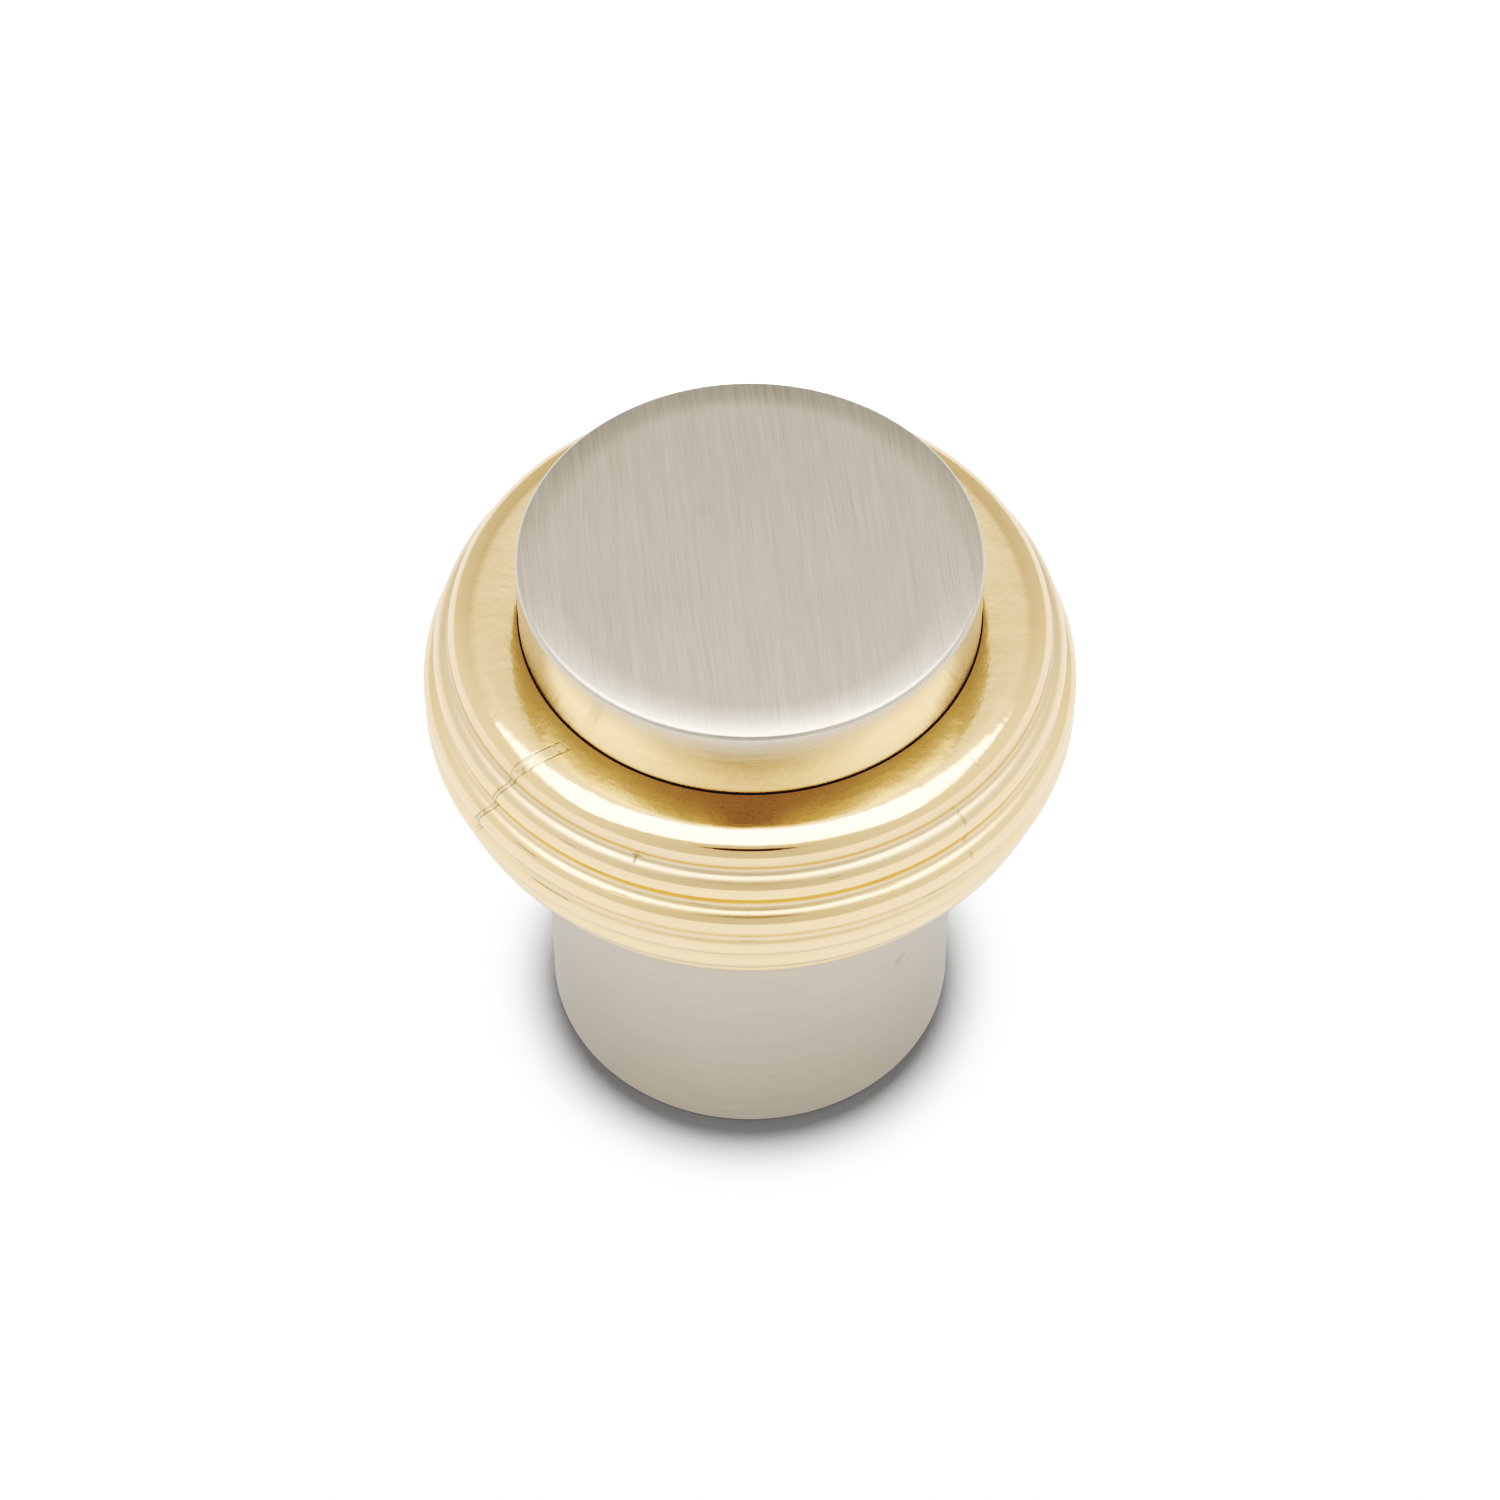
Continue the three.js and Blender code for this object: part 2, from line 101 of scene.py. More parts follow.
def rounded(corners, radius, steps=5):
    """A closed outline with each corner replaced by a round of that radius."""
    outline = []
    for i, corner in enumerate(corners):
        here = Vector(corner)
        back = Vector(corners[i - 1]) - here
        ahead = Vector(corners[(i + 1) % len(corners)]) - here
        reach = min(radius, back.length * 0.45, ahead.length * 0.45)
        start, end = here + back.normalized() * reach, here + ahead.normalized() * reach
        for k in range(steps + 1):
            t = k / steps
            outline.append(tuple(start * (1 - t) ** 2 + here * 2 * t * (1 - t) + end * t ** 2))
    return outline


def value_at(thing, angle):
    return thing(angle) if callable(thing) else thing


def revolved(name, profile, segments=192):
    """A closed turned mesh. The profile runs anticlockwise in the (radius, height)
    plane; a radius or a height may be a function of the angle."""
    closed = not (profile[0][0] == 0 and profile[-1][0] == 0)
    angles = [2 * math.pi * i / segments for i in range(segments)]
    points, rows = [], []
    for r, z in profile:
        if r == 0:
            rows.append([len(points)] * segments)
            points.append((0, 0, value_at(z, 0) * MM))
            continue
        rows.append(list(range(len(points), len(points) + segments)))
        for a in angles:
            radius = value_at(r, a) * MM
            points.append((radius * math.cos(a), radius * math.sin(a), value_at(z, a) * MM))
    faces = []
    for j in range(len(rows) if closed else len(rows) - 1):
        this, following = rows[j], rows[(j + 1) % len(rows)]
        for i in range(segments):
            k = (i + 1) % segments
            loop = (this[i], this[k], following[k], following[i])
            faces.append(tuple(dict.fromkeys(loop)))
    mesh = bpy.data.meshes.new(name)
    mesh.from_pydata(points, [], faces)
    mesh.validate()
    mesh.polygons.foreach_set("use_smooth", [True] * len(mesh.polygons))
    mesh.set_sharp_from_angle(angle=math.radians(32))
    return mesh


def place(name, mesh, body, slot, material, *nodes):
    """Adds a piece that stands for CAD nodes and moves with their body."""
    piece = bpy.data.objects.new(name, mesh)
    bpy.context.scene.collection.objects.link(piece)
    if not mesh.materials:
        mesh.materials.append(material)
    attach(piece, body)
    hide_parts(*nodes)
    return piece


def thread_form(crest, root, pitch, start, end, z, fade=0.8):
    """Radius of a right-hand thread at height z, as a function of the angle."""
    amount = max(0.0, min(1.0, (z - start) / fade, (end - z) / fade))

    def radius(angle):
        phase = (z / pitch - angle / (2 * math.pi)) % 1.0
        height = max(0.0, min(1.0, 2.6 * (1 - abs(2 * phase - 1)) - 0.45))
        return root + (crest - root) * (height * amount + (1 - amount))

    return radius


def thread_rows(crest, root, pitch, start, end, step=0.1, rising=True):
    count = round((end - start) / step)
    heights = [start + (end - start) * i / count for i in range(count + 1)]
    rows = [(thread_form(crest, root, pitch, start, end, z), z) for z in heights]
    return rows if rising else rows[::-1]


# -------------------------------------------------------------- material helpers

class Graph:
    """Writes a node tree as expressions."""

    def __init__(self, tree):
        self.tree = tree
        tree.nodes.clear()

    def feed(self, socket, value):
        if isinstance(value, bpy.types.NodeSocket):
            self.tree.links.new(value, socket)
        else:
            socket.default_value = value

    def node(self, kind, inputs=None, **settings):
        made = self.tree.nodes.new(kind)
        for key, value in settings.items():
            setattr(made, key, value)
        for key, value in (inputs or {}).items():
            self.feed(made.inputs[key], value)
        return made

    def math(self, operation, *values, clamp=False):
        made = self.node("ShaderNodeMath", operation=operation, use_clamp=clamp)
        for socket, value in zip(made.inputs, values):
            self.feed(socket, value)
        return made.outputs[0]

    def vector(self, operation, *values, out="Vector"):
        made = self.node("ShaderNodeVectorMath", operation=operation)
        for socket, value in zip(made.inputs, values):
            self.feed(socket, value)
        return made.outputs[out]

    def fade(self, value, start, end, low=0.0, high=1.0, smooth=True):
        """low where value is start, high where it is end, and between them in between."""
        made = self.node("ShaderNodeMapRange", {
            "Value": value, "From Min": start, "From Max": end, "To Min": low, "To Max": high,
        }, interpolation_type="SMOOTHSTEP" if smooth else "LINEAR", clamp=True)
        return made.outputs["Result"]

    def noise(self, vector, scale, detail=2.0, roughness=0.5, distortion=0.0):
        made = self.node("ShaderNodeTexNoise", {
            "Vector": vector, "Scale": scale, "Detail": detail,
            "Roughness": roughness, "Distortion": distortion,
        })
        return made.outputs[0]

    def stretched(self, vector, scale, turn=0.0):
        """Coordinates turned about Z and then scaled by a vector."""
        turned = self.node("ShaderNodeMapping", {
            "Vector": vector, "Rotation": (0, 0, turn),
        }, vector_type="POINT")
        return self.vector("MULTIPLY", turned.outputs[0], scale)

    def mix(self, factor, a, b, blend="MIX"):
        made = self.node("ShaderNodeMix", data_type="RGBA", blend_type=blend)
        colours = [s for s in made.inputs if s.type == "RGBA"]
        self.feed(made.inputs[0], factor)
        for socket, value in zip(colours, (a, b)):
            self.feed(socket, (*value, 1.0) if isinstance(value, tuple) else value)
        return next(s for s in made.outputs if s.type == "RGBA")

    def position(self):
        return self.node("ShaderNodeTexCoord").outputs["Object"]

    def polar(self, position):
        """Distance from the axis, angle round it and height of a point."""
        parts = self.node("ShaderNodeSeparateXYZ", {"Vector": position}).outputs
        radius = self.math("SQRT", self.math("ADD",
            self.math("MULTIPLY", parts[0], parts[0]), self.math("MULTIPLY", parts[1], parts[1])))
        return radius, self.math("ARCTAN2", parts[1], parts[0]), parts[2]

    def combined(self, x, y, z):
        return self.node("ShaderNodeCombineXYZ", {"X": x, "Y": y, "Z": z}).outputs[0]

    def around(self, position, per_turn, per_metre):
        """Coordinates for marks that run round the axis: long round it, fine across it."""
        radius, _, height = self.polar(position)
        flat = self.vector("MULTIPLY", position, (1.0, 1.0, 0.0))
        unit = self.vector("NORMALIZE", flat)
        across = self.math("MULTIPLY", self.math("ADD", height, radius), per_metre)
        return self.vector("ADD", self.vector("MULTIPLY", unit, (per_turn, per_turn, 0.0)),
                           self.combined(0.0, 0.0, across))

    def bump(self, height, strength, distance, normal=None):
        inputs = {"Height": height, "Strength": strength, "Distance": distance}
        if normal is not None:
            inputs["Normal"] = normal
        return self.node("ShaderNodeBump", inputs).outputs[0]

    def surface(self, **inputs):
        shader = self.node("ShaderNodeBsdfPrincipled")
        for key, value in inputs.items():
            value = (*value, 1.0) if isinstance(value, tuple) and len(value) == 3 else value
            self.feed(shader.inputs[key.replace("_", " ")], value)
        self.node("ShaderNodeOutputMaterial", {"Surface": shader.outputs[0]})


def new_material(name):
    made = bpy.data.materials.new(name)
    made.use_nodes = True
    return made, Graph(made.node_tree)


# -------------------------------------------------------------------- materials

NICKEL = (0.55, 0.495, 0.41)
NICKEL_DARK = (0.46, 0.41, 0.33)
# colour of the painted shade on the head's side next to the ring
NICKEL_PAINTED_SHADE = (0.28, 0.27, 0.265)
GRAIN_TURN = math.radians(-6)


def satin_nickel_face():
    """Top of the head, brushed in straight lines a few degrees off front to back."""
    made, g = new_material("satin_nickel_face")
    at = g.position()
    drift = g.math("MULTIPLY", g.noise(at, 90.0, 1.0, 0.4), 0.0007)
    swayed = g.vector("ADD", at, g.combined(drift, 0.0, 0.0))
    hairs = g.noise(g.stretched(swayed, (8200.0, 150.0, 400.0), GRAIN_TURN), 1.0, 3.0, 0.65)
    bands = g.noise(g.stretched(swayed, (2600.0, 60.0, 200.0), GRAIN_TURN), 1.0, 2.0, 0.5)
    cloud = g.noise(at, 110.0, 2.0, 0.5)
    grain = g.math("ADD", g.math("MULTIPLY", hairs, 0.75), g.math("MULTIPLY", bands, 0.25))
    shade = g.fade(grain, 0.36, 0.64, 0.0, 1.0, smooth=False)
    colour = g.mix(shade, tuple(c * 0.90 for c in NICKEL), tuple(c * 1.08 for c in NICKEL))
    colour = g.mix(g.fade(cloud, 0.35, 0.75, 0.0, 0.16), colour, NICKEL_DARK)
    spot = g.vector("DISTANCE", at, (-0.0035, 0.0040, HEAD_TOP * MM), out="Value")
    colour = g.mix(g.fade(spot, 0.0010, 0.0004, 0.0, 0.30), colour, (0.42, 0.41, 0.38))
    roughness = g.fade(grain, 0.3, 0.7, 0.27, 0.35, smooth=False)
    tangent = g.node("ShaderNodeVectorTransform", {
        "Vector": (math.cos(-GRAIN_TURN), math.sin(-GRAIN_TURN), 0.0),
    }, vector_type="VECTOR", convert_from="OBJECT", convert_to="WORLD").outputs[0]
    g.surface(Base_Color=colour, Metallic=1.0, Roughness=roughness, Anisotropic=0.6,
              Tangent=tangent, Normal=g.bump(grain, 0.06, 0.00002))
    return made


def satin_nickel_side(name, smoothest, roughest, spot=None, painted_shade_heights=None):
    """Turned nickel, brushed round the axis. A pair of heights, in mm, gives where a painted shade,
    standing in for the shade next to the ring, is darkest and where it has faded out; spot is the place of
    a small stain."""
    made, g = new_material(name)
    at = g.position()
    hairs = g.noise(g.around(at, 5.0, 9000.0), 1.0, 3.0, 0.6)
    bands = g.noise(g.around(at, 1.6, 1500.0), 1.0, 2.0, 0.5)
    cloud = g.noise(at, 90.0, 2.0, 0.5)
    grain = g.math("ADD", g.math("MULTIPLY", hairs, 0.6), g.math("MULTIPLY", bands, 0.4))
    shade = g.fade(grain, 0.32, 0.68, 0.0, 1.0, smooth=False)
    colour = g.mix(shade, tuple(c * 0.94 for c in NICKEL), tuple(c * 1.03 for c in NICKEL))
    colour = g.mix(g.fade(cloud, 0.35, 0.75, 0.0, 0.14), colour, NICKEL_DARK)
    # painted shade: the side darkens towards the ring's top, standing in for the shade where the head
    # stands in the ring
    if painted_shade_heights:
        painted_shade = g.fade(g.polar(at)[2], painted_shade_heights[1] * MM, painted_shade_heights[0] * MM, 0.0, 0.55)
        colour = g.mix(painted_shade, colour, NICKEL_PAINTED_SHADE)
    if spot:
        near = g.vector("DISTANCE", at, spot, out="Value")
        colour = g.mix(g.fade(near, 0.0009, 0.0003, 0.0, 0.45), colour, (0.34, 0.34, 0.30))
    roughness = g.fade(grain, 0.3, 0.7, smoothest, roughest, smooth=False)
    tangent = g.node("ShaderNodeTangent", direction_type="RADIAL", axis="Z").outputs[0]
    g.surface(Base_Color=colour, Metallic=1.0, Roughness=roughness, Anisotropic=0.7,
              Anisotropic_Rotation=0.25, Tangent=tangent, Normal=g.bump(grain, 0.06, 0.00002))
    return made


BRASS = (0.91, 0.63, 0.355)
BRASS_DEEP = (0.80, 0.50, 0.22)
TARNISH = (0.60, 0.47, 0.33)
STAIN = (0.34, 0.26, 0.15)

# The seam where the ring's shell was brazed shut: how it leans as it runs down and outwards
SEAM_ANGLE = -135.3              # at the lip, degrees
SEAM_LEAN = -0.61                # degrees for each millimetre down or outwards
SEAM_HALF = 0.50                 # half its width on the ring's shoulder, mm
SEAM_NARROW = 0.17               # and across the beads
SEAM_START = 1.3                 # where it begins to show, mm down and outwards from the lip
SEAM_END = 16.6                  # and where it is lost

# Small marks: angle in degrees, distance down and outwards from the lip in mm, the mark's
# length round the ring and down it in mm, and its strength.
MARKS = [
    (-111.0, 7.75, 0.55, 0.16, 0.85), (-111.2, 8.15, 0.16, 0.65, 0.85),
    (-48.5, 8.9, 0.22, 1.3, 0.55), (-48.4, 11.3, 0.30, 0.9, 0.45), (-48.7, 13.4, 0.20, 0.8, 0.40),
    (-41.0, 4.6, 0.09, 0.9, 0.55), (-127.0, 15.9, 2.6, 0.14, 0.75), (-144.4, 14.8, 0.60, 0.65, 0.80),
    (-96.0, 1.4, 0.10, 0.10, 0.50), (-78.0, 2.1, 0.09, 0.08, 0.50), (-63.0, 1.0, 0.12, 0.07, 0.45),
    (-84.5, 0.8, 0.07, 0.07, 0.50), (-121.0, 1.9, 0.11, 0.09, 0.50), (-102.0, 5.1, 0.08, 0.08, 0.45),
    (-119.0, 11.0, 1.5, 0.13, 0.60), (-113.0, 12.6, 1.0, 0.11, 0.60), (-124.0, 9.4, 1.2, 0.11, 0.50),
    (-99.0, 11.7, 1.2, 0.11, 0.50), (-66.0, 12.2, 1.4, 0.11, 0.50), (-75.0, 9.2, 0.9, 0.10, 0.50),
    (-132.0, 13.0, 1.8, 0.13, 0.65), (-56.0, 15.2, 1.5, 0.12, 0.50), (-90.0, 15.6, 1.0, 0.10, 0.45),
]


def brass_seam(g, down, degrees, arm, cloud, speckle):
    """The brazed seam: its filled width, the dirty lines at its edges and the specks in it."""
    middle = g.math("ADD", g.math("MULTIPLY", down, SEAM_LEAN), SEAM_ANGLE)
    wander = g.math("MULTIPLY", g.math("SUBTRACT", cloud, 0.5), 0.25)
    aside = g.math("ADD", g.math("MULTIPLY", g.math("SUBTRACT", degrees, middle), arm), wander)
    shown = g.math("MULTIPLY", g.fade(down, SEAM_END, SEAM_END - 1.2),
                   g.fade(down, SEAM_START - 0.4, SEAM_START + 0.3))
    half_width = g.fade(down, 5.0, 8.5, SEAM_HALF, SEAM_NARROW)
    beyond = g.math("SUBTRACT", g.math("ABSOLUTE", aside), half_width)
    fill = g.math("MULTIPLY", g.fade(beyond, 0.03, -0.05), shown)
    edges = g.math("MULTIPLY", g.fade(g.math("ABSOLUTE", beyond), 0.11, 0.03), shown)
    edges = g.math("MULTIPLY", edges, g.fade(speckle, 0.3, 0.55, 0.45, 1.0))
    specks = g.math("MULTIPLY", g.fade(speckle, 0.60, 0.68), fill)
    return fill, edges, specks


def brass_mark(g, mark, down, degrees, arm, speckle):
    """How strongly one small ragged mark shows at a point."""
    mark_angle, mark_down, length, drop, strength = mark
    along = g.math("MULTIPLY", g.math("SUBTRACT", degrees, mark_angle), arm)
    away = g.vector("LENGTH", g.combined(
        g.math("DIVIDE", along, length), g.math("DIVIDE", g.math("SUBTRACT", down, mark_down), drop),
        0.0), out="Value")
    ragged = g.math("ADD", away, g.math("MULTIPLY", g.math("SUBTRACT", speckle, 0.5), 1.2))
    return g.math("MULTIPLY", g.fade(ragged, 1.0, 0.55), strength)


def polished_brass(grooves):
    """Polished brass with a brazed seam, tarnish in the grooves and a few small marks.
    The grooves run from the lowest to the one under the upper shoulder."""
    made, g = new_material("polished_brass")
    at = g.position()
    radius, angle, height = g.polar(at)
    section = g.combined(radius, 0.0, height)
    distances = [g.vector("DISTANCE", section, (r * MM, 0.0, z * MM), out="Value") for r, z in grooves]
    nearest = distances[0]
    for distance in distances[1:]:
        nearest = g.math("MINIMUM", nearest, distance)
    tucked = g.fade(distances[-1], 0.0016, 0.0007)
    lines = g.noise(g.around(at, 3.0, 5000.0), 1.0, 3.0, 0.6)
    cloud = g.noise(at, 160.0, 3.0, 0.55)
    speckle = g.noise(at, 2600.0, 2.0, 0.6)
    groove = g.math("MULTIPLY", g.fade(nearest, 0.00038, 0.00008), g.fade(cloud, 0.2, 0.6, 0.5, 1.0))
    colour = g.mix(g.fade(cloud, 0.4, 0.8, 0.0, 0.20), BRASS, BRASS_DEEP)
    colour = g.mix(g.fade(lines, 0.55, 0.8, 0.0, 0.14), colour, BRASS_DEEP)
    colour = g.mix(g.math("MULTIPLY", groove, 0.55), colour, TARNISH)
    colour = g.mix(g.math("MULTIPLY", tucked, 0.35), colour, TARNISH)

    # distance down and outwards from the lip, and millimetres to a degree round the ring
    down = g.math("DIVIDE", g.math("ADD", g.math("SUBTRACT", radius, LIP_RADIUS * MM),
                                   g.math("SUBTRACT", RING_TOP * MM, height)), MM)
    degrees = g.math("DEGREES", angle)
    arm = g.math("MULTIPLY", radius, math.radians(1.0) / MM)
    fill, edges, specks = brass_seam(g, down, degrees, arm, cloud, speckle)
    colour = g.mix(g.math("MULTIPLY", fill, 0.3), colour, TARNISH)
    dirt = g.math("MAXIMUM", g.math("MULTIPLY", edges, 0.9), g.math("MULTIPLY", specks, 0.7))
    for mark in MARKS:
        dirt = g.math("MAXIMUM", dirt, brass_mark(g, mark, down, degrees, arm, speckle))
    colour = g.mix(dirt, colour, STAIN)

    roughness = g.math("ADD", g.fade(cloud, 0.3, 0.75, 0.07, 0.14),
                       g.fade(nearest, 0.0014, 0.0006, 0.0, 0.17))
    roughness = g.math("ADD", roughness, g.math("MULTIPLY", tucked, 0.05))
    roughness = g.math("ADD", roughness, g.fade(lines, 0.5, 0.8, 0.0, 0.10))
    roughness = g.math("ADD", roughness, g.math("MULTIPLY", g.math("MAXIMUM", dirt, fill), 0.15))
    wave = g.noise(g.around(at, 9.0, 420.0), 1.0, 3.0, 0.6)
    normal = g.bump(wave, 0.10, 0.0004)
    normal = g.bump(lines, 0.10, 0.00003, normal)
    normal = g.bump(g.math("SUBTRACT", 1.0, g.math("MAXIMUM", edges, dirt)), 0.25, 0.00004, normal)
    g.surface(Base_Color=colour, Metallic=1.0, Roughness=roughness, Normal=normal)
    return made


def turned_metal(name, colour, roughness, stain):
    """Plain turned or plated metal of the inner pieces."""
    made, g = new_material(name)
    at = g.position()
    lines = g.noise(g.around(at, 4.0, 6000.0), 1.0, 2.0, 0.5)
    cloud = g.noise(at, 300.0, 3.0, 0.6)
    shade = g.mix(g.fade(cloud, 0.35, 0.7, 0.0, 0.5), colour, stain)
    shade = g.mix(g.fade(lines, 0.4, 0.7, 0.0, 0.25), shade, tuple(c * 0.8 for c in colour))
    g.surface(Base_Color=shade, Metallic=1.0,
              Roughness=g.fade(cloud, 0.3, 0.7, roughness, roughness + 0.15),
              Normal=g.bump(lines, 0.15, 0.00003))
    return made


def moulded(name, colour, roughness, grain_scale, strength):
    """Rubber or plastic with a fine moulded grain."""
    made, g = new_material(name)
    at = g.position()
    grain = g.noise(at, grain_scale, 3.0, 0.6)
    cloud = g.noise(at, 220.0, 2.0, 0.5)
    shade = g.mix(g.fade(cloud, 0.3, 0.7, 0.0, 0.6), colour, tuple(c * 0.82 for c in colour))
    g.surface(Base_Color=shade, Metallic=0.0,
              Roughness=g.fade(grain, 0.3, 0.7, roughness - 0.08, roughness + 0.08),
              Normal=g.bump(grain, strength, 0.00005))
    return made


# ------------------------------------------------------------------ ring section

def crown_centre(shoulder):
    """Centre of the flatter round that carries a shoulder on to its flat, drawn upwards."""
    centre, radius = shoulder
    angle = math.radians(CROWN_ANGLE)
    return (centre[0] + (radius - CROWN_RADIUS) * math.cos(angle),
            centre[1] + (radius - CROWN_RADIUS) * math.sin(angle))


def ring_rounds():
    """Rounds of the ring's outside from the lower shoulder up: centre and radius."""
    crown_rise = CROWN_RADIUS + crown_centre(((0, 0), SHOULDER_RADIUS))[1]
    rise = (RING_TOP - RING_BOTTOM) / 2 - crown_rise
    rounds = [((SHOULDER_R, RING_MIDDLE - rise), SHOULDER_RADIUS)]
    rounds += [((r, RING_MIDDLE + z), BEAD_RADIUS) for r, z in BEADS]
    rounds.append(((SHOULDER_R, RING_MIDDLE + rise), SHOULDER_RADIUS))
    return rounds


def valley(lower, upper):
    """Centre of the hollow that touches two neighbouring rounds, away from the axis."""
    (c1, r1), (c2, r2) = lower, upper
    near, far = r1 + VALLEY_RADIUS, r2 + VALLEY_RADIUS
    across = Vector(c2) - Vector(c1)
    distance = across.length
    along = (near ** 2 - far ** 2 + distance ** 2) / (2 * distance)
    aside = math.sqrt(near ** 2 - along ** 2)
    across.normalize()
    return (c1[0] + across.x * along + across.y * aside,
            c1[1] + across.y * along - across.x * aside)


def bearing(centre, point):
    """Direction from one point to another in the (radius, height) plane, degrees."""
    return math.degrees(math.atan2(point[1] - centre[1], point[0] - centre[0]))


ROUNDS = ring_rounds()
VALLEYS = [valley(a, b) for a, b in zip(ROUNDS, ROUNDS[1:])]


def valley_ends(index):
    """Bearings of a hollow's ends, seen from its own centre, lower end first."""
    centre = VALLEYS[index]
    return [bearing(centre, ROUNDS[index + k][0]) % 360 for k in (0, 1)]


def valley_floor(index):
    centre = VALLEYS[index]
    return arc(centre, VALLEY_RADIUS, sum(valley_ends(index)) / 2, 0, 1)[0]


GROOVES = [valley_floor(i) for i in range(len(VALLEYS))]

brass = polished_brass(GROOVES)
nickel_face = satin_nickel_face()
# the head's side gets painted shade over the 5 mm above the ring
nickel_head = satin_nickel_side("satin_nickel_head", 0.22, 0.30, painted_shade_heights=(RING_TOP, RING_TOP + 5.0))
nickel_base = satin_nickel_side("satin_nickel_base", 0.26, 0.34, spot=(0.0118, -0.0112, 0.0155))
zinc = turned_metal("zinc_steel", (0.66, 0.67, 0.68), 0.28, (0.55, 0.56, 0.60))
yoke = turned_metal("yoke_steel", (0.38, 0.39, 0.40), 0.38, (0.28, 0.27, 0.26))
magnet_plate = turned_metal("magnet_nickel", (0.78, 0.77, 0.74), 0.12, (0.68, 0.67, 0.64))
rubber = moulded("black_rubber", (0.018, 0.018, 0.019), 0.62, 2600.0, 0.25)
gasket_rubber = moulded("gasket_rubber", (0.045, 0.046, 0.048), 0.75, 1800.0, 0.35)
acetal = moulded("white_acetal", (0.80, 0.79, 0.75), 0.42, 1500.0, 0.10)
nylon = moulded("black_nylon", (0.028, 0.029, 0.031), 0.5, 1500.0, 0.15)

# -------------------------------------------------------------------------- head

ROLL_WIDTH = 2.5                 # how far in from the rim the face begins to fall away
ROLL_SLOPE = 10.0                # slope where the face meets the edge round, degrees
HEAD_EDGE = 0.42
HEAD_BORE = 9.3
HEAD_BORE_TOP = 49.8
HEAD_THREAD_DEPTH = 0.6
COUNTERBORE = (10.0, 44.7)       # radius and top
FOOT_EDGE = 0.25
ROLL_STEPS = 14


def head_profile():
    """Closed outline of the head, from its underside out, up, in over the face and
    back down the bore."""
    flat = HEAD_RADIUS - HEAD_EDGE - ROLL_WIDTH
    face = []
    drop = 0.0
    width = ROLL_WIDTH / ROLL_STEPS
    for i in range(ROLL_STEPS + 1):
        face.append((flat + width * i, HEAD_TOP - drop))
        drop += width * math.tan(math.radians(ROLL_SLOPE * (i + 0.5) / ROLL_STEPS))
    rim_top = face[-1][1]
    slope = math.radians(ROLL_SLOPE)
    edge_radius = HEAD_EDGE / (1 - math.sin(slope))
    centre = (HEAD_RADIUS - edge_radius, rim_top - edge_radius * math.cos(slope))
    edge = arc(centre, edge_radius, 0, 90 - ROLL_SLOPE, 12)[:-1]
    bore = thread_rows(HEAD_BORE, HEAD_BORE + HEAD_THREAD_DEPTH, THREAD_PITCH,
                       COUNTERBORE[1], HEAD_BORE_TOP, rising=False)
    outside = [(COUNTERBORE[0], HEAD_BOTTOM), (HEAD_RADIUS - FOOT_EDGE, HEAD_BOTTOM),
               (HEAD_RADIUS - 0.07, HEAD_BOTTOM + 0.07), (HEAD_RADIUS, HEAD_BOTTOM + FOOT_EDGE),
               *edge, *face[::-1]]
    rings = [(flat * k, HEAD_TOP) for k in (0.75, 0.5, 0.25)]
    return [*outside, *rings, (0, HEAD_TOP), (0, HEAD_BORE_TOP), *bore, COUNTERBORE]


# the outline starts on the underside, so it is cut open where it meets the axis
head_outline = head_profile()
axis_top = head_outline.index((0, HEAD_TOP))
head_open = head_outline[axis_top + 1:] + head_outline[:axis_top + 1]
head_mesh = revolved("head_shell", head_open, 256)
head_mesh.materials.append(nickel_head)
head_mesh.materials.append(nickel_face)
for polygon in head_mesh.polygons:
    if polygon.center.z > (HEAD_TOP - 1.5) * MM and polygon.normal.z > 0.75:
        polygon.material_index = 1
place("head_shell", head_mesh, "head", "satin_nickel", nickel_head, "head")

# -------------------------------------------------------------------------- base

GASKET_OUTER, _, GASKET_TOP = span("floor_gasket")
GASKET_INNER = inner_radius("floor_gasket")
BASE_BORE = 9.3
BASE_FLOOR = 2.7
SCREW_HOLE = inner_radius("base_body")
BASE_EDGE = 0.4

base_profile = [
    (SCREW_HOLE + 0.2, 0.0), (GASKET_INNER - FIT - 0.1, 0.0), (GASKET_INNER - FIT, 0.1),
    (GASKET_INNER - FIT, GASKET_TOP + FIT), (GASKET_OUTER + FIT, GASKET_TOP + FIT),
    (GASKET_OUTER + FIT, 0.1), (GASKET_OUTER + FIT + 0.1, 0.0),
    *arc((BASE_RADIUS - BASE_EDGE, BASE_EDGE), BASE_EDGE, -90, 0, 8),
    *[(BASE_RADIUS, BASE_EDGE + (BASE_TOP - 2 * BASE_EDGE) * k / 6) for k in range(1, 6)],
    *arc((BASE_RADIUS - BASE_EDGE, BASE_TOP - BASE_EDGE), BASE_EDGE, 0, 90, 8),
    (BASE_BORE + 0.3, BASE_TOP), (BASE_BORE, BASE_TOP - 0.3), (BASE_BORE, BASE_FLOOR),
    (SCREW_HOLE, BASE_FLOOR), (SCREW_HOLE, 0.2),
]
place("base_shell", revolved("base_shell", base_profile, 256), "base", "satin_nickel",
      nickel_base, "base_body")

# --------------------------------------------------------------- post and O-ring

STEM_RADIUS = 9.0
FLANGE_BOTTOM, FLANGE_TOP = 30.7, 33.0
NECK_RADIUS = 8.6
ACCESS_RADIUS = 6.2              # of the bore that the floor screw is driven through
SEAT_TOP = 7.0
POST_THREAD = (9.0, 8.2)         # crest and root radius
O_RING_MIDDLE = (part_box("head_o_ring")[0].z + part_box("head_o_ring")[1].z) / 2 / MM
O_RING_SECTION = (span("head_o_ring")[2] - span("head_o_ring")[1]) / 2
O_RING_RADIUS = span("head_o_ring")[0] - O_RING_SECTION

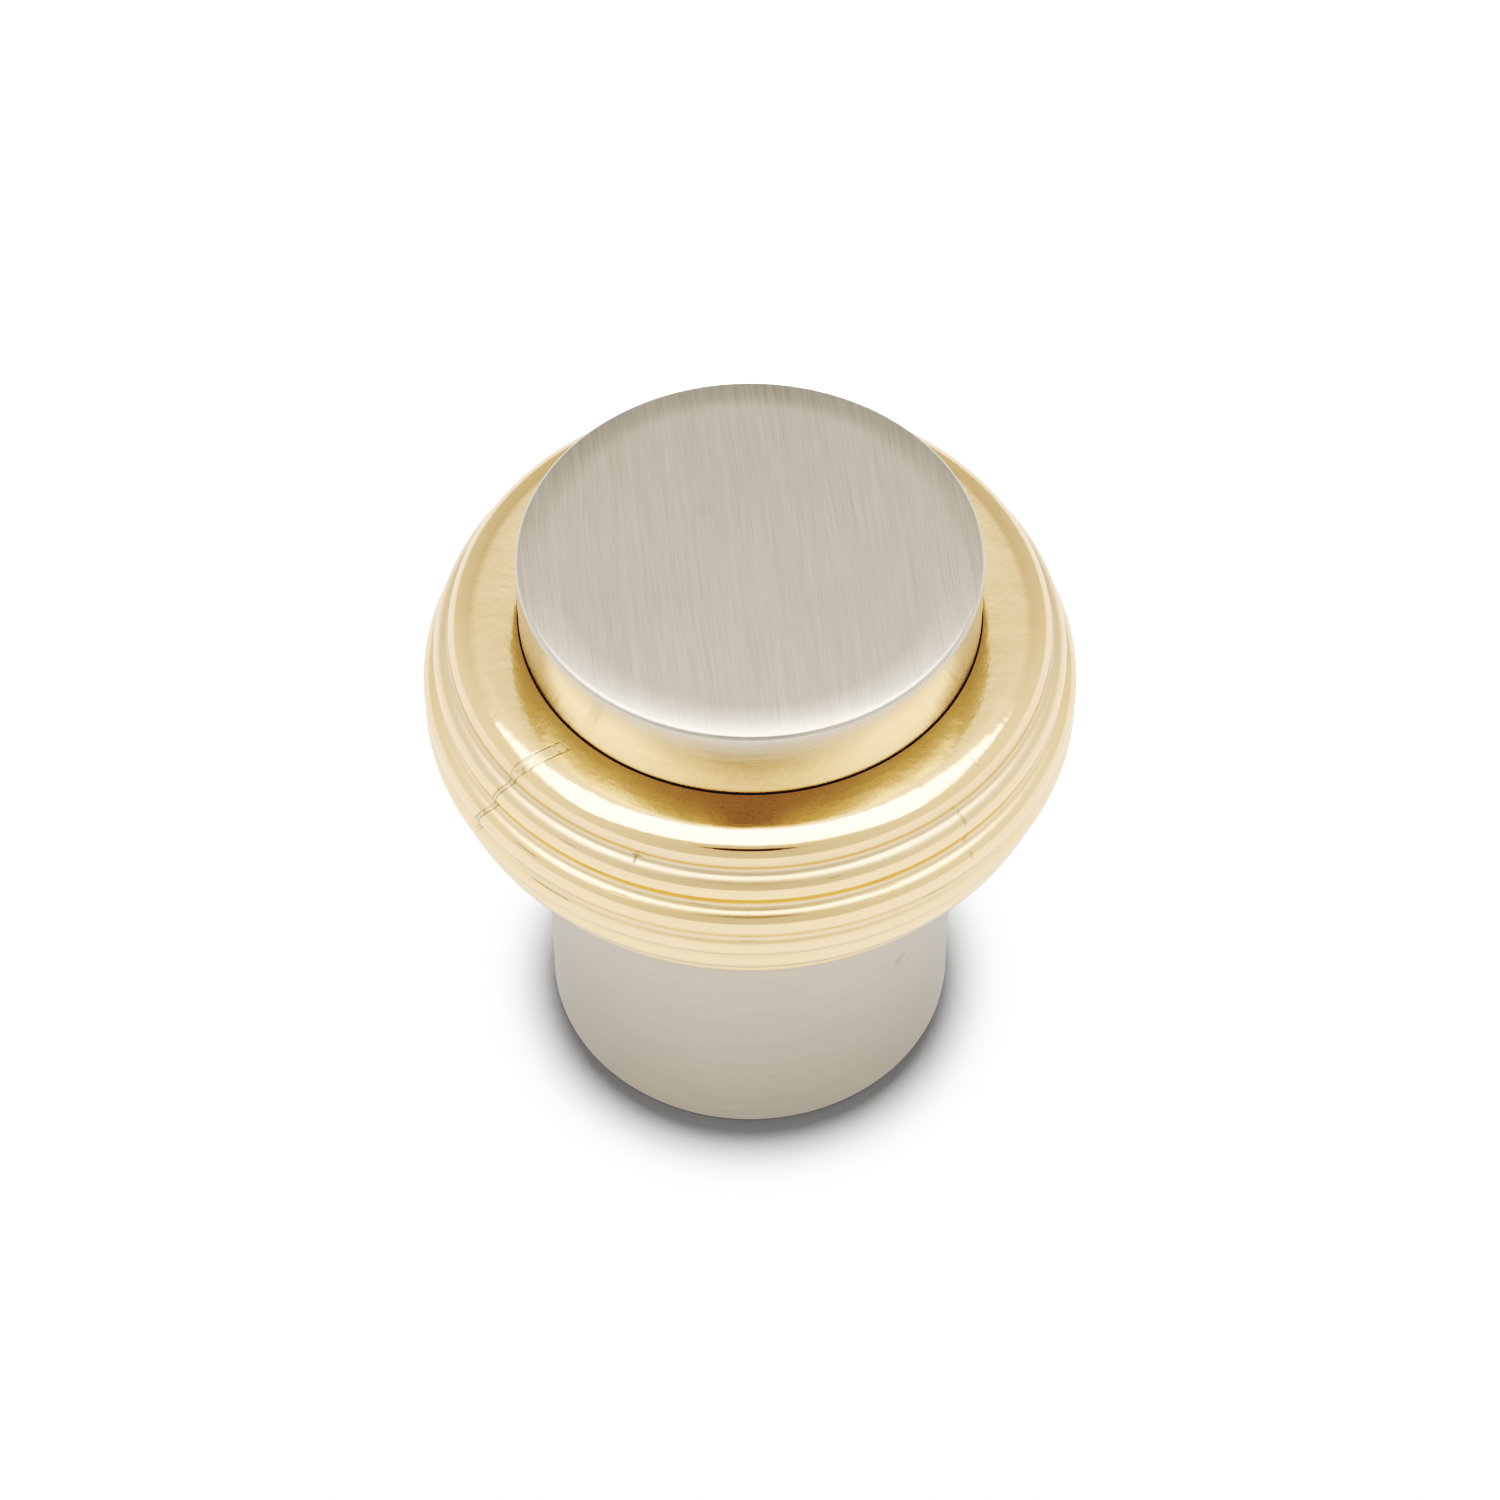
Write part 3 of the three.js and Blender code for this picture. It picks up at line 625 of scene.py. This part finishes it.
groove_half = O_RING_SECTION + FIT
groove_bottom = O_RING_RADIUS - O_RING_SECTION - FIT
post_profile = [
    (SCREW_HOLE, POST_BOTTOM), (STEM_RADIUS - 0.4, POST_BOTTOM), (STEM_RADIUS, POST_BOTTOM + 0.4),
    (STEM_RADIUS, FLANGE_BOTTOM),
    *rounded([(POST_RADIUS, FLANGE_BOTTOM), (POST_RADIUS, FLANGE_TOP)], 0.25),
    (NECK_RADIUS, FLANGE_TOP), (NECK_RADIUS, O_RING_MIDDLE - groove_half),
    (groove_bottom, O_RING_MIDDLE - groove_half), (groove_bottom, O_RING_MIDDLE + groove_half),
    *thread_rows(*POST_THREAD, THREAD_PITCH, O_RING_MIDDLE + groove_half, POST_TOP - 0.4),
    (8.1, POST_TOP), (ACCESS_RADIUS + 0.4, POST_TOP), (ACCESS_RADIUS, POST_TOP - 0.4),
    (ACCESS_RADIUS, SEAT_TOP), (SCREW_HOLE, SEAT_TOP),
]
place("threaded_post", revolved("threaded_post", post_profile, 144), "base", "zinc_steel",
      zinc, "core_post")
o_ring = arc((O_RING_RADIUS, O_RING_MIDDLE), O_RING_SECTION, 0, 360, 24)[:-1]
place("o_ring", revolved("o_ring", o_ring, 144), "base", "black_rubber", rubber, "head_o_ring")

# ------------------------------------------------------------------- floor screw


def cross_recess(length, width):
    """Outline of a cross-shaped recess as a function of the angle."""
    def radius(angle):
        off = (angle + math.pi / 4) % (math.pi / 2) - math.pi / 4
        return min(length / math.cos(off), width / max(abs(math.sin(off)), 1e-6))
    return radius


SHANK_RADIUS = 2.5
SHANK_ROOT = 1.75
SCREW_HEAD_BASE = 42.6
SCREW_PITCH = 2.4
SCREW_POINT = 5.0                # length over which the screw comes to its point
SCREW_ROWS = 260
THREAD_END = 33.0
screw_rows = []
for i in range(SCREW_ROWS + 1):
    z = SCREW_BOTTOM + 0.12 + (THREAD_END - 1.0 - SCREW_BOTTOM) * i / SCREW_ROWS
    taper = min(1.0, (z - SCREW_BOTTOM) / SCREW_POINT)
    form = thread_form(SHANK_RADIUS * taper, SHANK_ROOT * taper, SCREW_PITCH,
                       SCREW_BOTTOM, THREAD_END, z, 0.6)
    screw_rows.append((form, z))
screw_profile = [
    (0, SCREW_BOTTOM), *screw_rows,
    (SHANK_RADIUS, THREAD_END + 0.2), (SHANK_RADIUS, SCREW_HEAD_BASE),
    *rounded([(SCREW_RADIUS, SCREW_HEAD_BASE), (SCREW_RADIUS, SCREW_TOP - 1.4)], 0.2, 3),
    *arc((SCREW_RADIUS - 1.7, SCREW_TOP - 1.7), 1.7, 12, 90, 8),
    (cross_recess(2.4, 0.55), SCREW_TOP), (cross_recess(1.7, 0.4), SCREW_TOP - 1.8),
    (0, SCREW_TOP - 2.0),
]
place("pan_head_screw", revolved("pan_head_screw", screw_profile, 120), "floor_screw",
      "zinc_steel", zinc, "floor_screw")

# ------------------------------------------------------- plain rings of the stack

PLAIN_RINGS = [
    ("floor_gasket", "base", "gasket_rubber", gasket_rubber, 0.25),
    ("screw_collar", "base", "black_nylon", nylon, 0.3),
    ("screw_washer", "floor_screw", "zinc_steel", zinc, 0.2),
    ("lower_thrust_washer", "base", "white_acetal", acetal, 0.15),
    ("buffer_sleeve", "base", "black_rubber", rubber, 0.4),
    ("upper_thrust_washer", "head_washer", "white_acetal", acetal, 0.15),
    ("ring_bush", "ring", "white_acetal", acetal, 0.3),
    ("yoke_ring", "ring", "yoke_steel", yoke, 0.4),
]
for node, body, slot_name, material, edge in PLAIN_RINGS:
    outer, bottom, top = span(node)
    inner = inner_radius(node)
    outline = rounded([(outer, bottom), (outer, top), (inner, top), (inner, bottom)], edge)
    place(node + "_turned", revolved(node + "_turned", outline, 128), body, slot_name,
          material, node)

# ------------------------------------------------------------------------- ring

BEAD_STEPS = 20
VALLEY_STEPS = 8
JOINT_GAP = 0.02                 # half the hairline between shell and cap


def crown_and_lip(shoulder, lip_radius):
    """From the top of a shoulder's own round over the crown and flat to the lip's edge."""
    centre = crown_centre(shoulder)
    points = arc(centre, CROWN_RADIUS, CROWN_ANGLE, 90, 16)
    top = points[-1]
    width = top[0] - lip_radius - LIP_EDGE
    points += [(top[0] - width * k / 6, top[1] - LIP_DROP * (k / 6) ** 2) for k in range(1, 7)]
    edge = (lip_radius + LIP_EDGE, top[1] - LIP_DROP - LIP_EDGE)
    return points + arc(edge, LIP_EDGE, 96, 180, 6)[1:]


def ring_shell_profile():
    start, end = valley_ends(0)
    middle = (start + end) / 2
    points = arc(VALLEYS[0], VALLEY_RADIUS, middle, end, VALLEY_STEPS)
    points[0] = (points[0][0], points[0][1] + JOINT_GAP)
    for i in range(1, len(BEADS) + 1):
        centre, radius = ROUNDS[i]
        low, high = bearing(centre, VALLEYS[i - 1]), bearing(centre, VALLEYS[i])
        points += arc(centre, radius, low, high, BEAD_STEPS)[1:]
        points += arc(VALLEYS[i], VALLEY_RADIUS, *valley_ends(i), VALLEY_STEPS)[1:]
    centre, radius = ROUNDS[-1]
    points += arc(centre, radius, bearing(centre, VALLEYS[-1]), CROWN_ANGLE, BEAD_STEPS)[1:]
    points += crown_and_lip(ROUNDS[-1], LIP_RADIUS)[1:]
    return [*points, (LIP_RADIUS, ROOF_UNDERSIDE), (CAVITY_RADIUS - 1.1, ROOF_UNDERSIDE),
            (CAVITY_RADIUS, ROOF_UNDERSIDE - 1.1), (CAVITY_RADIUS, points[0][1])]


def ring_cap_profile():
    def mirrored(r, z):
        return r, 2 * RING_MIDDLE - z

    upper = [mirrored(*p) for p in crown_and_lip(ROUNDS[-1], CAP_BORE_RADIUS)]
    centre, radius = ROUNDS[0]
    points = upper[::-1] + arc(centre, radius, -CROWN_ANGLE, bearing(centre, VALLEYS[0]), BEAD_STEPS)[1:]
    start, end = valley_ends(0)
    points += arc(VALLEYS[0], VALLEY_RADIUS, start, (start + end) / 2, VALLEY_STEPS)[1:]
    points[-1] = (points[-1][0], points[-1][1] - JOINT_GAP)
    return [*points, (CAVITY_RADIUS - FIT, points[-1][1]), (CAVITY_RADIUS - FIT, CAP_SPIGOT_TOP),
            (CAP_BORE_RADIUS, CAP_SPIGOT_TOP)]


place("ring_shell", revolved("ring_shell", ring_shell_profile(), 384), "ring",
      "polished_brass", brass, "reeded_ring")
cap = place("ring_cap", revolved("ring_cap", ring_cap_profile(), 384), "ring",
            "polished_brass", brass, "ring_base_cap")

SINK_BASE, SINK_HEIGHT = 29.5, 0.8
CAP_SCREW_TOP = 44.3
CAP_SCREW_HEAD = 1.6             # radius
CAP_SCREW_SHANK = 1.0
SOCKET_APOTHEM = 0.66


def hexagon(apothem):
    def radius(angle):
        off = (angle + math.pi / 6) % (math.pi / 3) - math.pi / 6
        return apothem / math.cos(off)
    return radius


def screw_places():
    return [2 * math.pi * (i + 0.25) / RING_SCREW_COUNT for i in range(RING_SCREW_COUNT)]


sinks = []
for index, turn in enumerate(screw_places()):
    shift = Matrix.Rotation(turn, 4, "Z") @ Matrix.Translation((RING_SCREW_CIRCLE * MM, 0, 0))
    screw = revolved(f"cap_screw_{index + 1}", [
        (0, SINK_BASE + 0.6), (hexagon(SOCKET_APOTHEM), SINK_BASE + 0.6),
        (hexagon(SOCKET_APOTHEM), SINK_BASE + 0.05), (hexagon(SOCKET_APOTHEM + 0.06), SINK_BASE),
        (CAP_SCREW_HEAD - 0.08, SINK_BASE), (CAP_SCREW_HEAD, SINK_BASE + 0.08),
        (CAP_SCREW_SHANK, SINK_BASE + SINK_HEIGHT), (CAP_SCREW_SHANK, CAP_SCREW_TOP - 0.2),
        (CAP_SCREW_SHANK - 0.2, CAP_SCREW_TOP), (0, CAP_SCREW_TOP),
    ], 48)
    screw.transform(shift)
    place(f"cap_screw_{index + 1}", screw, "ring", "zinc_steel", zinc, f"ring_screw_{index + 1}")
    sink = revolved("sink", [
        (0, RING_BOTTOM - 1), (CAP_SCREW_HEAD + 0.45, RING_BOTTOM - 1), (CAP_SCREW_HEAD + FIT, SINK_BASE),
        (CAP_SCREW_SHANK + FIT, SINK_BASE + SINK_HEIGHT), (CAP_SCREW_SHANK + FIT, CAP_SPIGOT_TOP + 1),
        (0, CAP_SPIGOT_TOP + 1),
    ], 40)
    sink.transform(shift)
    sinks.append(bpy.data.objects.new("sink", sink))

for sink in sinks:
    bpy.context.scene.collection.objects.link(sink)
    cut = cap.modifiers.new("sink", "BOOLEAN")
    cut.operation, cut.solver, cut.object = "DIFFERENCE", "EXACT", sink
bpy.context.view_layer.update()
drilled = bpy.data.meshes.new_from_object(cap.evaluated_get(bpy.context.evaluated_depsgraph_get()))
cap.modifiers.clear()
cap.data = drilled
for sink in sinks:
    bpy.data.objects.remove(sink)

# ----------------------------------------------------------- magnets and carrier

MAGNET_RADIUS = 3.5
MAGNET_LENGTH = 3.0
for index in range(MAGNET_COUNT):
    node = f"magnet_{index + 1}"
    low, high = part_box(node)
    middle = (low + high) / 2
    disc = revolved(node + "_disc", [
        (0, -MAGNET_LENGTH / 2),
        *rounded([(MAGNET_RADIUS, -MAGNET_LENGTH / 2), (MAGNET_RADIUS, MAGNET_LENGTH / 2)], 0.3),
        (0, MAGNET_LENGTH / 2),
    ], 64)
    turn = 2 * math.pi * index / MAGNET_COUNT
    disc.transform(Matrix.Translation(middle) @ Matrix.Rotation(turn, 4, "Z")
                   @ Matrix.Rotation(math.pi / 2, 4, "Y"))
    place(node + "_disc", disc, "ring", "magnet_nickel", magnet_plate, node)

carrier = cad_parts["magnet_carrier"]
carrier.data.materials.clear()
carrier.data.materials.append(nylon)

# ------------------------------------------------------------- floor, light, camera

FLOOR_SIZE = 6.0
SHADOW_FILL = 0.08               # light that still reaches the floor right beside the base
FLOOR_TONE = 0.1
GLOW_NEAR = 0.47                 # floor's brightness in the metal beside the base, where its painted shadow is darkest
GLOW_RADIUS = 0.044              # and the distance from the axis where it is full
WHITE = (1.0, 1.0, 1.0, 1.0)


def floor_material():
    """White floor. To the camera it is lit and takes the shadow; in the metal it shows as a pale field
    with a painted shadow that darkens it towards the base. From below it is clear."""
    made, g = new_material("studio_floor")
    at = g.position()
    cloud = g.noise(at, 4.0, 2.0, 0.5)
    tone = g.fade(cloud, 0.3, 0.7, FLOOR_TONE * 0.98, FLOOR_TONE * 1.02)
    matt = g.node("ShaderNodeBsdfDiffuse", {"Color": g.combined(tone, tone, tone)})
    fill = g.node("ShaderNodeEmission", {"Color": WHITE, "Strength": SHADOW_FILL})
    lit = g.node("ShaderNodeAddShader", {0: matt.outputs[0], 1: fill.outputs[0]})
    radius, _, _ = g.polar(at)
    # painted shadow: the floor's brightness in reflections ramps down towards the base, standing in for
    # its contact shadow
    painted_shadow_glow = g.fade(radius, BASE_RADIUS * MM, GLOW_RADIUS, GLOW_NEAR, 1.0, smooth=False)
    seen = g.node("ShaderNodeEmission", {"Color": WHITE, "Strength": painted_shadow_glow})
    path = g.node("ShaderNodeLightPath").outputs["Is Camera Ray"]
    above = g.node("ShaderNodeMixShader", {0: path, 1: seen.outputs[0], 2: lit.outputs[0]})
    clear = g.node("ShaderNodeBsdfTransparent", {"Color": WHITE})
    below = g.node("ShaderNodeNewGeometry").outputs["Backfacing"]
    mixed = g.node("ShaderNodeMixShader", {0: below, 1: above.outputs[0], 2: clear.outputs[0]})
    g.node("ShaderNodeOutputMaterial", {"Surface": mixed.outputs[0]})
    return made


floor_mesh = bpy.data.meshes.new("floor")
half = FLOOR_SIZE / 2
floor_mesh.from_pydata([(-half, -half, 0), (half, -half, 0), (half, half, 0), (-half, half, 0)],
                       [], [(0, 1, 2, 3)])
floor_mesh.materials.append(floor_material())
floor = bpy.data.objects.new("floor", floor_mesh)
floor.location.z = -0.00005
bpy.context.scene.collection.objects.link(floor)

TOP_LIGHT_HALF_ANGLE = 14.5      # of the lamp disc overhead, degrees
TOP_LIGHT_TILT = 2.3             # of the lamp, from overhead towards the back, degrees
FLOOR_EXPOSURE = 5.2             # floor brightness in the open, 1 being white
lamp = bpy.data.lights.new("overhead", "SUN")
lamp.angle = math.radians(2 * TOP_LIGHT_HALF_ANGLE)
lamp.energy = FLOOR_EXPOSURE * math.pi / FLOOR_TONE
overhead = bpy.data.objects.new("overhead", lamp)
overhead.rotation_euler.x = -math.radians(TOP_LIGHT_TILT)
overhead.visible_glossy = False
bpy.context.scene.collection.objects.link(overhead)
lit_by_overhead = bpy.data.collections.new("lit_by_overhead")
lit_by_overhead.objects.link(floor)
overhead.light_linking.receiver_collection = lit_by_overhead


SOFTBOX_REACH = (0.85, 0.41)     # half its size across and along, for a height of 1
SOFTBOX_LEVEL = 2.0
SIDE_LEVEL = 0.75                # brightness of the room at the object's sides
FRONT_LEVEL = 0.53
BACK_LEVELS = (0.42, 0.95)       # low down and high up behind the object
DARK_ELEVATION = 49.8            # middle of the camera's dark patch, degrees
DARK_HALF_HEIGHT = 7.0
DARK_HALF_WIDTH = 0.22           # as a part of the distance
DARK_LEVEL = 0.12
PAPER_WHITE = 4.0                # what the camera sees past the floor


def softbox(g, x, y, z):
    """1 inside the soft box overhead and 0 outside it."""
    up = g.math("MAXIMUM", z, 0.02)
    aside = g.math("DIVIDE", g.math("ABSOLUTE", x), up)
    along = g.math("DIVIDE", g.math("ABSOLUTE", y), up)
    reach = g.math("MAXIMUM", g.math("DIVIDE", aside, SOFTBOX_REACH[0]),
                   g.math("DIVIDE", along, SOFTBOX_REACH[1]))
    return g.math("MULTIPLY", g.fade(reach, 1.10, 0.90), g.math("GREATER_THAN", z, 0.1))


def room_level(g, x, y, z):
    """Brightness of the room by direction, with the floor swept up at its edges."""
    level_way = g.vector("NORMALIZE", g.combined(x, y, 0.0))
    towards_back = g.node("ShaderNodeSeparateXYZ", {"Vector": level_way}).outputs[1]
    squared = g.math("MULTIPLY", towards_back, towards_back)
    front = g.math("MULTIPLY", squared, g.math("LESS_THAN", towards_back, 0.0))
    behind = g.math("MULTIPLY", squared, g.math("GREATER_THAN", towards_back, 0.0))
    back_level = g.fade(z, 0.62, 0.90, *BACK_LEVELS)
    room = g.math("SUBTRACT", SIDE_LEVEL, g.math("MULTIPLY", front, SIDE_LEVEL - FRONT_LEVEL))
    room = g.math("SUBTRACT", room, g.math("MULTIPLY", behind, g.math("SUBTRACT", SIDE_LEVEL, back_level)))
    return g.math("MAXIMUM", room, g.fade(z, 0.09, 0.02, 0.0, 1.0))


def camera_dark(g, x, y, z):
    """1 in the middle of the dark of the camera, in front of the object."""
    lift = g.math("SUBTRACT", g.math("ARCSINE", z), math.radians(DARK_ELEVATION))
    patch = g.vector("LENGTH", g.combined(
        g.math("DIVIDE", x, DARK_HALF_WIDTH), g.math("DIVIDE", lift, math.radians(DARK_HALF_HEIGHT)),
        0.0), out="Value")
    return g.math("MULTIPLY", g.fade(patch, 1.15, 0.7), g.fade(y, 0.0, -0.2))


def studio_world():
    """A bright soft box overhead in a paler room, with the dark of the camera in front.
    The camera itself sees plain white."""
    world = bpy.data.worlds.new("studio")
    world.use_nodes = True
    g = Graph(world.node_tree)
    way = g.node("ShaderNodeTexCoord").outputs["Generated"]
    x, y, z = g.node("ShaderNodeSeparateXYZ", {"Vector": way}).outputs
    box = g.math("MULTIPLY", softbox(g, x, y, z), SOFTBOX_LEVEL)
    level = g.math("ADD", room_level(g, x, y, z), box)
    shade = g.fade(camera_dark(g, x, y, z), 0.0, 1.0, 1.0, DARK_LEVEL, smooth=False)
    level = g.math("MULTIPLY", level, shade)
    lit = g.node("ShaderNodeBackground", {"Color": WHITE, "Strength": level})
    plain = g.node("ShaderNodeBackground", {"Color": WHITE, "Strength": PAPER_WHITE})
    path = g.node("ShaderNodeLightPath").outputs["Is Camera Ray"]
    mixed = g.node("ShaderNodeMixShader", {0: path, 1: lit.outputs[0], 2: plain.outputs[0]})
    g.node("ShaderNodeOutputWorld", {"Surface": mixed.outputs[0]})
    return world


# How brightness is set down in the picture: an S-shaped curve, as a camera's is, up to
# the brightness that is set down as white.
TONE_WHITE = 2.0
TONE_CURVE = [(0.0, 0.0), (0.068, 0.027), (0.132, 0.133), (0.188, 0.27), (0.33, 0.50),
              (0.47, 0.64), (0.70, 0.78), (1.0, 0.896), (1.4, 0.97), (2.0, 1.0)]


def set_tone(scene):
    scene.view_settings.view_transform = "Standard"
    scene.view_settings.use_curve_mapping = True
    mapping = scene.view_settings.curve_mapping
    mapping.extend = "HORIZONTAL"
    mapping.white_level = (TONE_WHITE, TONE_WHITE, TONE_WHITE)
    curve = mapping.curves[3]
    for bright, shown in TONE_CURVE[1:-1]:
        curve.points.new(bright / TONE_WHITE, shown)
    for point in curve.points:
        point.handle_type = "AUTO_CLAMPED"
    mapping.update()


bpy.context.scene.world = studio_world()
set_tone(bpy.context.scene)

CAMERA_ELEVATION = 52.048        # degrees
CAMERA_TARGET = Vector((0.0, 0.0, 0.028119))
CAMERA_DISTANCE = 0.33778
CAMERA_LENS = 103.35             # mm, on a sensor 36 mm wide
camera_data = bpy.data.cameras.new("camera")
camera_data.lens = CAMERA_LENS
camera_data.sensor_width = 36.0
camera_data.clip_start = 0.01
camera = bpy.data.objects.new("camera", camera_data)
elevation = math.radians(CAMERA_ELEVATION)
sight = Vector((0.0, -math.cos(elevation), math.sin(elevation)))
camera.location = CAMERA_TARGET + sight * CAMERA_DISTANCE
camera.rotation_mode = "QUATERNION"
camera.rotation_quaternion = (-sight).to_track_quat("-Z", "Y")
bpy.context.scene.collection.objects.link(camera)
bpy.context.scene.camera = camera
